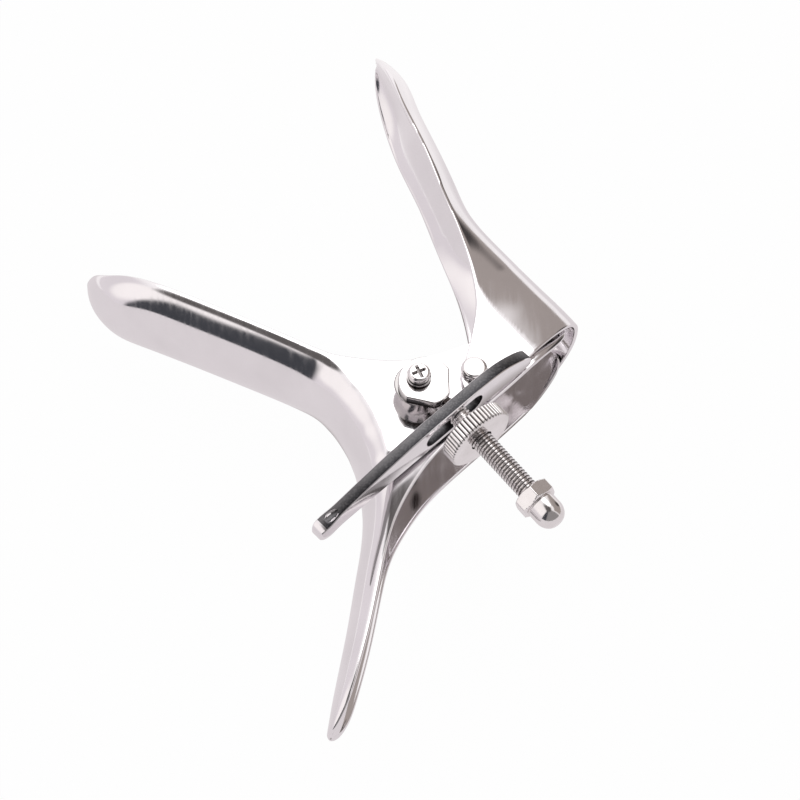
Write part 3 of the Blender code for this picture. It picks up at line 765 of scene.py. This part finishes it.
def lever_painted_shade():
    """The lever's top and slot walls: finely speckled steel painted dark as shade, lighter
    towards one side as a painted highlight.
    """
    finish = Finish("lever_painted_shade_steel")
    speckle = finish.ranged(finish.noise(1800.0, detail=3.0), 0.0, 1.0, 0.45, 0.75)
    along = finish.ranged(finish.noise(120.0, (1.0, 1.0, 0.3), detail=2.0), 0.0, 1.0)
    # Painted shade: the whole finish is near black, and turns lighter towards one side across the
    # lever as a painted highlight.
    across = finish.ranged(finish.marked("across"), 0.0, 1.0, 0.12, 0.8)
    painted_highlight = finish.mixed(along, (0.09, 0.088, 0.092), (0.17, 0.165, 0.17))
    base = finish.mixed(across, (0.038, 0.038, 0.042), painted_highlight)
    spots = finish.mixed(across, (0.1, 0.1, 0.105), (0.2, 0.195, 0.2))
    finish.give("Base Color", finish.mixed(speckle, base, spots))
    finish.give("Metallic", 1.0)
    finish.give("Roughness", finish.ranged(speckle, 0.3, 0.38, 0.0, 1.0))
    finish.give("Normal", finish.bump(speckle, 0.00001, 0.3))
    return finish.material


# Pieces


def pin_cutter(radius, x=0.0, y=0.0, low=-24.0, high=24.0):
    """A round bar along Z that bores a pin's hole."""
    cutter = turned("cutter", np.array([(0, low), (radius, low), (radius, high), (0, high)]), 48)
    return moved(cutter, at(x, y, 0))


def make_valves(sheet_steel):
    """Both pressed sheets, bored for the rivets and the lower one for the screw."""
    hole = RIVET_RADIUS + PIN_CLEARANCE
    mesh = mesh_of("lower_valve_sheet", *pressed_valve(lower_stations(), leaning=True))
    mesh = combined(mesh, pin_cutter(hole), "DIFFERENCE")
    pivot = PIVOT - HINGE
    screw_hole = pin_cutter(SCREW_RADIUS + PIN_CLEARANCE, pivot.x, pivot.y, low=0.0)
    mesh = combined(mesh, screw_hole, "DIFFERENCE")
    piece(
        "lower_valve_sheet", from_hinge(mesh), [sheet_steel],
        "lower_valve", "polished_steel", "lower_valve", sharp=50,
    )
    mesh = mesh_of("upper_valve_sheet", *pressed_valve(upper_stations()))
    mesh = combined(mesh, pin_cutter(hole), "DIFFERENCE")
    piece(
        "upper_valve_sheet", from_hinge(mesh), [sheet_steel],
        "upper_valve", "polished_steel", "upper_valve", sharp=50,
    )


def lever_sections():
    """The lever's shape along its length: place, base, top and half thickness."""
    base, top = LEVER_BASE, LEVER_BASE + LEVER_HEIGHT
    half = LEVER_THICKNESS / 2
    end = -LEVER_LOWER_END
    return np.array(
        [
            (end, base + 1.2, base + 3.8, half * 0.95),
            (end + 1.0, base + 0.5, base + 5.0, half * 1.16),
            (end + 3.5, base, base + 5.5, half * 1.22),
            (end + 7.0, base, base + 6.2, half * 1.04),
            (end + 12.0, base, base + 7.2, half),
            (-45.0, base, top - 2.0, half),
            (-36.0, base, top - 0.9, half),
            (-26.0, base, top - 0.2, half),
            (-15.0, base, top, half),
            (-6.0, base, top, half),
            (1.0, base, top - 0.8, half),
            (6.0, base, top - 2.7, half),
            (9.8, base, base + 6.0, half),
            (12.2, base, base + 4.0, half * 0.98),
            (LEVER_UPPER_END, base + 0.4, base + 2.6, half * 0.8),
        ]
    )


def make_lever(sheet_steel, lever_shade_steel):
    """The slotted lever, a bar on edge with a crowned top, its top and slot walls painted dark as
    shade.
    """
    rows = curve_through(lever_sections(), steps=10, softening=12)
    points = []
    for place, base, top, half in rows:
        corners = [(-half, base), (half, base), (half, top)]
        corners += [(LEVER_BEVEL - half, top), (-half, top - LEVER_BEVEL_DROP)]
        ring = rounded(corners, (0.5, 0.5, 0.3, 0.06, 0.1))
        points += [(place, across, height) for across, height in ring]
    count = len(points) // len(rows)
    faces = faces_between(len(rows), count)
    faces += [tuple(range(count)), tuple(range(len(points) - 1, len(points) - count - 1, -1))]
    mesh = mesh_of("opening_lever_bar", points, faces)
    radius = ROD_RADIUS + SLOT_CLEARANCE
    straight = SLOT_LENGTH / 2 - radius
    turns = np.linspace(-math.pi / 2, math.pi / 2, 17)
    right = [(-SLOT_CENTRE + straight + radius * math.cos(t), ROD_AXIS + radius * math.sin(t))
             for t in turns]
    left = [(-SLOT_CENTRE - straight - radius * math.cos(t), ROD_AXIS - radius * math.sin(t))
            for t in turns]
    slot = prism("slot", right + left, -LEVER_THICKNESS, LEVER_THICKNESS)
    slot = moved(slot, Matrix.Rotation(math.pi / 2, 4, "X"))
    mesh = combined(mesh, slot, "DIFFERENCE")
    steps = np.linspace(0, math.pi, 13)
    dish = turned("dish", np.column_stack([np.sin(steps), -np.cos(steps)]), 32)
    spot = at(DISH_FROM_END - LEVER_LOWER_END, 0, LEVER_BASE + DISH_HEIGHT)
    mesh = combined(mesh, moved(dish, Matrix.Diagonal((*DISH_SIZE, 1.0)), spot), "DIFFERENCE")
    # The share across the thickness, which lightens one side of the top as a painted highlight.
    mesh = keep_on_points(mesh, "across", lambda x, y, z: 0.5 + y / LEVER_THICKNESS)
    placed = moved(mesh, at(0, -LEVER_OFFSET, 0), Matrix.Rotation(LEVER_ANGLE, 4, "Z"))
    lever = piece(
        "opening_lever_bar", from_hinge(placed), [sheet_steel, lever_shade_steel],
        "upper_valve", "polished_steel", "opening_lever", sharp=40,
    )
    # The slot's walls, and the top except its last bit at the lower end, take the second
    # material: painted shade with a painted highlight along one side.
    turned_back = Matrix.Rotation(-LEVER_ANGLE, 3, "Z")
    for face in lever.data.polygons:
        spot = turned_back @ (face.center / MM - HINGE)
        facing = turned_back @ face.normal
        in_slot = abs(spot.x + SLOT_CENTRE) < SLOT_LENGTH / 2 + 0.1
        in_slot = in_slot and abs(spot.z - ROD_AXIS) < radius + 0.1 and abs(facing.y) < 0.5
        on_top = facing.z > 0.5 and abs(facing.y) < 0.3 and spot.z > LEVER_BASE + 2.0
        if in_slot or (on_top and spot.x > PAINTED_SHADE_FROM_END - LEVER_LOWER_END):
            face.material_index = 1


def eye_reach(turn):
    """How far the eye's outline lies from its middle."""
    reach = EYE_RADIUS
    for side in (-1, 1):
        lean = math.cos(turn - side * EYE_FLAT_ANGLE)
        if lean > 0:
            reach = min(reach, EYE_FLAT_DISTANCE / lean)
    return reach


def make_eye():
    """The flat eye at the rod's end, its rim broken and its hole bored."""
    low, high = ROD_AXIS - EYE_THICKNESS / 2, ROD_AXIS + EYE_THICKNESS / 2
    rim = rounded([(-3.0, low), (0.0, low), (0.0, high), (-3.0, high)], (0, 0.3, 0.45, 0), False)
    points = []
    for inset, height in [(None, low), *rim, (None, high)]:
        for i in range(ROUND_SIDES):
            turn = FULL_TURN * i / ROUND_SIDES
            if inset is None:
                spot = (0.0, 0.0)
            else:
                reach = eye_reach(turn) + inset
                spot = (reach * math.cos(turn), reach * math.sin(turn))
            points.append((*spot, height))
    eye = mesh_of("rod_eye", points, faces_between(len(points) // ROUND_SIDES, ROUND_SIDES))
    # Painted shade: the eye's sides and underside darken towards the bottom, and its top face
    # stays clear.
    keep_on_points(eye, "painted_shade", lambda x, y, z: 0.35 + (high - z - 0.1) * 0.35
                   if z < high - 0.02 else 0)
    eye = moved(eye, at(EYE_ALONG, EYE_ASIDE, 0))
    hole = pin_cutter(SCREW_RADIUS + PIN_CLEARANCE, low=0, high=30)
    return combined(eye, hole, "DIFFERENCE")


def make_rod(plate):
    """The rod: a threaded shank forged to its eye."""
    heights = np.arange(SHANK_START, ROD_LENGTH - 0.5, THREAD_PITCH / THREAD_STEPS)
    profile = [*NECK] + [(ROD_RADIUS, height) for height in heights]
    profile += [(ROD_RADIUS - SHANK_CHAMFER, ROD_LENGTH), (0, ROD_LENGTH)]
    shank = turned("rod_shank", np.array(profile, float), 48)
    tree, sockets = thread_tree(plate)
    sizes = {"Pitch": THREAD_PITCH, "Depth": THREAD_DEPTH, "From": THREAD_START}
    sizes["To"] = ROD_LENGTH - SHANK_CHAMFER
    shank = shaped_by(shank, tree, sockets, **sizes)
    rod = combined(make_eye(), laid_along_rod(shank), "UNION")
    rod.name = "screw_rod"
    piece("screw_rod_steel", on_swivel(rod), [plate], "screw_rod", "plated_steel",
          "threaded_rod", sharp=35)


def make_knurled_nut(plate):
    """The thumb nut: a bored disc with chamfered rims and straight knurling."""
    inner, face = ROD_RADIUS + SEAT_GAP, NUT_RADIUS - NUT_CHAMFER
    low, high = NUT_DISTANCE, NUT_DISTANCE + NUT_THICKNESS
    corners = [(inner, low), (face, low), (NUT_RADIUS, low + NUT_CHAMFER_HEIGHT)]
    corners += [(NUT_RADIUS, high - NUT_CHAMFER_HEIGHT), (face, high), (inner, high)]
    outline = rounded(corners, (0.3, 0.35, 0.3, 0.3, 0.35, 0.3))
    profile = []
    for point, after in zip(outline, np.roll(outline, -1, axis=0)):
        steps = 10 if abs(point[0] - after[0]) < 1e-6 and point[0] > NUT_RADIUS - 0.1 else 1
        profile += [point + (after - point) * i / steps for i in range(steps)]
    mesh = turned("thumb_nut", np.array(profile), KNURLS * 8, closed=True)
    tree, sockets = knurl_tree(plate)
    sizes = {"Grooves": KNURLS, "Depth": KNURL_DEPTH, "Rim": NUT_RADIUS}
    mesh = shaped_by(mesh, tree, sockets, **sizes)
    piece("thumb_nut_steel", on_swivel(laid_along_rod(mesh)), [plate], "thumb_nut",
          "plated_steel", "knurled_nut", sharp=40)


def hex_reach(turn):
    """The outline of the hexagon, its corners a little broken."""
    across = HEX_ACROSS_FLATS / 2
    sector = (turn - HEX_TURN) % (FULL_TURN / 6) - FULL_TURN / 12
    return min(across / math.cos(sector), across * 1.142)


def make_dome_nut(plate):
    """The cap nut: a chamfered hexagon, a grooved neck and a dome, bored from behind."""
    back, front = HEX_BACK, HEX_BACK + HEX_LENGTH
    bore = ROD_RADIUS + SEAT_GAP
    across = HEX_ACROSS_FLATS / 2
    chamfer = across * 0.97
    rises = (0.12, 0.25, 0.4, 0.55, 0.8)
    rows = [(bore, ROD_LENGTH + SEAT_GAP, 0), (bore, back + 0.3, 0), (bore + 0.3, back, 0)]
    rows += [(chamfer, back, 0)]
    rows += [(chamfer + rise * 1.5, back + rise, 1) for rise in rises]
    rows += [(chamfer + rise * 1.5, front - rise, 1) for rise in reversed(rises)]
    neck = DOME_RADIUS - 0.25
    rows += [(chamfer, front, 0), (neck + 0.1, front, 0), (neck, front + 0.12, 0)]
    rows += [(DOME_RADIUS - 0.05, front + 0.35, 0), (DOME_RADIUS, front + 0.6, 0)]
    wall = front - 1.0 + DOME_LENGTH - DOME_RADIUS
    for t in np.linspace(0, math.pi / 2, 16):
        radius = DOME_RADIUS * math.cos(t) ** 0.85 if t < math.pi / 2 - 1e-6 else 0.0
        rows.append((radius, wall + DOME_RADIUS * math.sin(t), 0))
    points = []
    for radius, along, is_hexagon in rows:
        for i in range(ROUND_SIDES):
            turn = FULL_TURN * i / ROUND_SIDES
            reach = min(radius, hex_reach(turn)) if is_hexagon else radius
            points.append((reach * math.cos(turn), reach * math.sin(turn), along))
    points += [(0, 0, ROD_LENGTH + SEAT_GAP)]
    faces = faces_between(len(rows), ROUND_SIDES)
    faces += [(j, len(points) - 1, (j + 1) % ROUND_SIDES) for j in range(ROUND_SIDES)]
    mesh = mesh_of("cap_nut", points, faces)
    piece("cap_nut_steel", on_swivel(laid_along_rod(mesh)), [plate], "screw_rod",
          "plated_steel", "dome_nut", sharp=28)


def make_pivot(plate):
    """Boss, spring washer and cross-recessed screw, which carry the rod's eye."""
    hole = SCREW_RADIUS + PIN_CLEARANCE
    low = LOWER_CHEEK_OUTER + SEAT_GAP
    high = ROD_AXIS - EYE_THICKNESS / 2 - SEAT_GAP
    corners = [(hole, low), (BOSS_RADIUS * BOSS_FOOT_SHARE, low)]
    corners += [(BOSS_RADIUS * BOSS_WAIST_SHARE, low + BOSS_WAIST_HEIGHT)]
    corners += [(BOSS_RADIUS * 0.97, high - 0.6), (BOSS_RADIUS * 0.95, high), (hole, high)]
    boss = turned("boss", rounded(corners, (0, 0.6, 2.4, 0.8, 0.3, 0), steps=6), 96, closed=True)
    # Painted shade on the boss: darkest at its top under the eye, lighter towards the cheek.
    keep_on_points(boss, "painted_shade", lambda x, y, z: 0.58 - 0.33 * (high - z) / (high - low))
    piece("pivot_boss_steel", on_swivel(boss), [plate], "lower_valve", "plated_steel",
          "pivot_boss", sharp=50)
    low = EYE_TOP + SEAT_GAP
    high = low + WASHER_THICKNESS
    corners = [(hole, low), (WASHER_RADIUS, low), (WASHER_RADIUS, high), (hole, high)]
    ring = rounded(corners, (0.1, 0.18, 0.18, 0.1), steps=3)
    gap = WASHER_SPLIT / WASHER_RADIUS
    start = WASHER_SPLIT_TURN + gap
    washer = turned("washer", ring, 72, closed=True, sweep=FULL_TURN - gap, start=start)
    # Painted shade between the eye and the screw head: the washer's sides and underside near
    # black, its top darker than the plate.
    keep_on_points(washer, "painted_shade", lambda x, y, z: 1.0 if z < high - 0.2 else 0.45)
    piece("spring_washer_steel", on_swivel(washer), [plate], "lower_valve", "plated_steel",
          "spring_washer", sharp=50)
    head = EYE_TOP + WASHER_THICKNESS + 2 * SEAT_GAP
    top = head + SCREW_HEAD_HEIGHT
    tail = LOWER_CHEEK_INNER - SCREW_TAIL
    corners = [(0, tail), (SCREW_RADIUS, tail), (SCREW_RADIUS, head), (SCREW_HEAD_RADIUS, head)]
    corners += [(SCREW_HEAD_RADIUS, top - 0.6), (SCREW_HEAD_RADIUS * HEAD_FLAT_SHARE, top - 0.04)]
    corners += [(0, top)]
    profile = rounded(corners, (0, 0.3, 0, 0.15, 0.4, 0.4, 0), closed=False, steps=6)
    screw = turned("screw", profile, 72)
    long, half = CROSS_LENGTH / 2, CROSS_WIDTH / 2
    cross = [(half, half), (half, long), (-half, long), (-half, half), (-long, half)]
    cross += [(-long, -half), (-half, -half), (-half, -long), (half, -long), (half, -half)]
    cross += [(long, -half), (long, half)]
    recess = prism("recess", cross, top - CROSS_DEPTH, top + 0.4, taper=0.62)
    screw = combined(screw, moved(recess, Matrix.Rotation(CROSS_TURN, 4, "Z")), "DIFFERENCE")
    # Painted shade: dark at the bottom of the cross recess, and on the head's side and the shank,
    # darker the lower they lie.
    keep_on_points(screw, "painted_shade", lambda x, y, z: 0.75 if abs(z - top + CROSS_DEPTH) < 0.01
                   else 0.55 * (top - 0.5 - z))
    spot = (Matrix.Translation((PIVOT.x, PIVOT.y, HINGE.z)), Matrix.Scale(MM, 4))
    piece("pivot_screw_steel", moved(screw, *spot), [plate], "lower_valve", "plated_steel",
          "pivot_screw", sharp=35)


def make_rivets(plate):
    """The two rivets that both valves turn on, mirror images of each other."""
    head = UPPER_CHEEK_OUTER + SEAT_GAP
    tail = LOWER_CHEEK_INNER - SEAT_GAP
    corners = [(0, tail - RIVET_TAIL_HEIGHT), (RIVET_TAIL_RADIUS, tail - RIVET_TAIL_HEIGHT)]
    corners += [(RIVET_TAIL_RADIUS, tail), (RIVET_RADIUS, tail), (RIVET_RADIUS, head)]
    corners += [(RIVET_HEAD_RADIUS, head), (RIVET_HEAD_RADIUS, head + 1.3)]
    corners += [(RIVET_HEAD_RADIUS * HEAD_FLAT_SHARE, head + RIVET_HEAD_HEIGHT + 0.15)]
    corners += [(0, head + RIVET_HEAD_HEIGHT + 0.3)]
    profile = rounded(corners, (0, 0.5, 0.2, 0, 0, 0.3, 0.6, 0.5, 0), closed=False, steps=6)
    for side, name in ((1, "near"), (-1, "far")):
        rivet = turned(f"rivet_{name}", profile, 72)
        if side < 0:
            rivet = moved(rivet, Matrix.Rotation(math.pi, 4, "X"))
        piece(f"hinge_rivet_{name}_steel", from_hinge(rivet), [plate], "lower_valve",
              "plated_steel", f"hinge_rivet_{name}", sharp=50)


# Studio


# What the metal sees besides white: a colour, and the limits of its panel. A limit is a
# direction and the cosines between which the panel fades in along it.
PANELS = (
    ((0.80, 0.75, 0.775), (((-0.985, 0.174, 0.0), 0.35, 0.60),)),
    ((1.06, 1.01, 1.0), (((-0.707, -0.23, 0.669), 0.77, 0.93),)),
    (
        (0.38, 0.335, 0.315),
        (
            ((0.259, 0.966, 0.0), -0.02, 0.12),
            ((0.940, -0.342, 0.0), 0.0, 0.10),
            ((0.0, 0.0, 1.0), -0.04, 0.04),
            ((0.0, 0.0, -1.0), -0.87, -0.80),
        ),
    ),
    (
        (0.30, 0.285, 0.285),
        (
            ((0.707, -0.707, 0.0), -0.04, 0.05),
            ((-0.259, -0.966, 0.0), -0.02, 0.12),
            ((0.0, 0.0, 1.0), -0.02, 0.03),
        ),
    ),
    (
        (0.055, 0.057, 0.066),
        (
            ((0.707, -0.707, 0.0), -0.07, 0.02),
            ((-0.940, 0.342, 0.0), -0.08, 0.08),
            ((0.0, 0.0, 1.0), -0.02, 0.03),
        ),
    ),
    ((0.12, 0.11, 0.108), (((-0.082, -0.03, 0.996), 0.925, 0.968),)),
    ((0.05, 0.045, 0.045), (((0.70, 0.65, 0.25), 0.966, 0.996),)),
)


def light_world():
    """A white studio with the darker panels that polished steel picks up."""
    world = bpy.data.worlds.new("studio")
    bpy.context.scene.world = world
    world.use_nodes = True
    tree = world.node_tree
    background = tree.nodes["Background"]
    direction = tree.nodes.new("ShaderNodeTexCoord").outputs["Generated"]
    colour = (1.05, 1.02, 1.02, 1)
    for tint, limits in PANELS:
        share = 1.0
        for axis, begins, full in limits:
            dot = tree.nodes.new("ShaderNodeVectorMath")
            dot.operation = "DOT_PRODUCT"
            tree.links.new(direction, dot.inputs[0])
            dot.inputs[1].default_value = Vector(axis).normalized()
            fading = tree.nodes.new("ShaderNodeMapRange")
            fading.interpolation_type = "SMOOTHSTEP"
            tree.links.new(dot.outputs["Value"], fading.inputs["Value"])
            fading.inputs["From Min"].default_value = begins
            fading.inputs["From Max"].default_value = full
            share = worked_out(tree, "MULTIPLY", fading.outputs[0], share)
        colour = mixed_colour(tree, share, colour, (*tint, 1))
    seen = tree.nodes.new("ShaderNodeLightPath").outputs["Is Camera Ray"]
    colour = mixed_colour(tree, seen, colour, (1, 1, 1, 1))
    tree.links.new(colour, background.inputs["Color"])


def lay_floor():
    """A white floor that keeps a faint shadow, and shows glossy rays a painted shadow under the
    collar and painted shade, greyer near the part and white further back.
    """
    half = FLOOR_HALF
    mesh = bpy.data.meshes.new("floor")
    corners = [(-half, -half), (half, -half), (half, half), (-half, half)]
    mesh.from_pydata([(x, y, -FLOOR_DROP) for x, y in corners], [], [(0, 1, 2, 3)])
    floor = bare_object("floor", mesh)
    material = bpy.data.materials.new("white_floor")
    material.use_nodes = True
    tree = material.node_tree
    shader = tree.nodes["Principled BSDF"]
    place = tree.nodes.new("ShaderNodeTexCoord")
    grain = tree.nodes.new("ShaderNodeTexNoise")
    grain.inputs["Scale"].default_value = 40.0
    tree.links.new(place.outputs["Object"], grain.inputs["Vector"])
    tone = mixed_colour(tree, grain.outputs["Fac"], (0.9, 0.88, 0.9, 1), (0.93, 0.91, 0.93, 1))
    tree.links.new(tone, shader.inputs["Base Color"])
    shader.inputs["Roughness"].default_value = 0.9
    shader.inputs["Specular IOR Level"].default_value = 0.0
    glow = tree.nodes.new("ShaderNodeEmission")
    path = tree.nodes.new("ShaderNodeLightPath")
    in_metal = worked_out(tree, "MULTIPLY", path.outputs["Is Glossy Ray"], 0.92)
    seen = worked_out(tree, "MULTIPLY", path.outputs["Is Camera Ray"], 0.98)
    parts = tree.nodes.new("ShaderNodeSeparateXYZ")
    tree.links.new(place.outputs["Object"], parts.inputs[0])
    x, y, _ = parts.outputs
    across, deep = (
        worked_out(tree, "DIVIDE", worked_out(tree, "SUBTRACT", value, middle), reach)
        for value, middle, reach in zip((x, y), PAINTED_SHADOW_MIDDLE, PAINTED_SHADOW_REACH)
    )
    square = worked_out(tree, "MULTIPLY", deep, deep)
    away = worked_out(tree, "SQRT", worked_out(tree, "MULTIPLY_ADD", across, across, square))
    # What glossy rays see on the floor: painted shade, lilac grey up to y = 0.09 m and white
    # behind, and a painted shadow, a dark patch under the collar.
    behind = fade(tree, y, 0.09, 0.05)
    beyond = mixed_colour(tree, behind, (0.79, 0.745, 0.76, 1), (1.03, 1.0, 1.0, 1))
    outside = fade(tree, away, *PAINTED_SHADOW_EDGE)
    under = mixed_colour(tree, outside, (0.2, 0.172, 0.16, 1), beyond)
    tint = mixed_colour(tree, path.outputs["Is Camera Ray"], under, (1, 1, 1, 1))
    tree.links.new(tint, glow.inputs["Color"])
    share = worked_out(tree, "MAXIMUM", seen, in_metal)
    mix = tree.nodes.new("ShaderNodeMixShader")
    tree.links.new(share, mix.inputs["Fac"])
    tree.links.new(shader.outputs[0], mix.inputs[1])
    tree.links.new(glow.outputs[0], mix.inputs[2])
    tree.links.new(mix.outputs[0], tree.nodes["Material Output"].inputs["Surface"])
    mesh.materials.append(material)


def add_lamp(name, direction, distance, size, power):
    """A round lamp that stands in a direction from the origin and faces back to it."""
    lamp = bpy.data.lights.new(name, "AREA")
    lamp.shape = "DISK"
    lamp.size = size
    lamp.energy = power
    obj = bpy.data.objects.new(name, lamp)
    bpy.context.scene.collection.objects.link(obj)
    out = Vector(direction).normalized()
    obj.location = out * distance
    obj.rotation_euler = out.to_track_quat("Z", "Y").to_euler()


def add_camera():
    """The photograph's view: steeply down from the front, a little off square."""
    up, out = math.sin(CAMERA_ELEVATION), math.cos(CAMERA_ELEVATION)
    level = Matrix(((1, 0, 0), (0, up, out), (0, -out, up)))
    along, aside = math.cos(CAMERA_TILT), math.sin(CAMERA_TILT)
    lean = Matrix(((along, 0, -aside), (0, 1, 0), (aside, 0, along)))
    axes = (level @ lean).transposed()
    data = bpy.data.cameras.new("camera")
    data.sensor_width = 36.0
    data.lens = CAMERA_LENS
    camera = bare_object("camera", data)
    aim = HINGE + Vector((0, 0, CAMERA_AIM_HEIGHT))
    place = Matrix.Translation((aim + axes @ Vector(CAMERA_PLACE)) * MM)
    camera.matrix_world = place @ axes.to_4x4()
    data.clip_start = 0.01
    data.clip_end = 20.0
    bpy.context.scene.camera = camera


def main():
    sheet_steel, plate, lever_shade_steel = polished_sheet(), plated_piece(), lever_painted_shade()
    make_valves(sheet_steel)
    make_lever(sheet_steel, lever_shade_steel)
    make_rod(plate)
    make_knurled_nut(plate)
    make_dome_nut(plate)
    make_pivot(plate)
    make_rivets(plate)
    light_world()
    lay_floor()
    add_lamp("overhead_softbox", (0.0, 0.485, 0.875), 1.4, 0.7, 1.6)
    add_camera()
    bpy.context.scene.view_settings.view_transform = "Standard"


main()
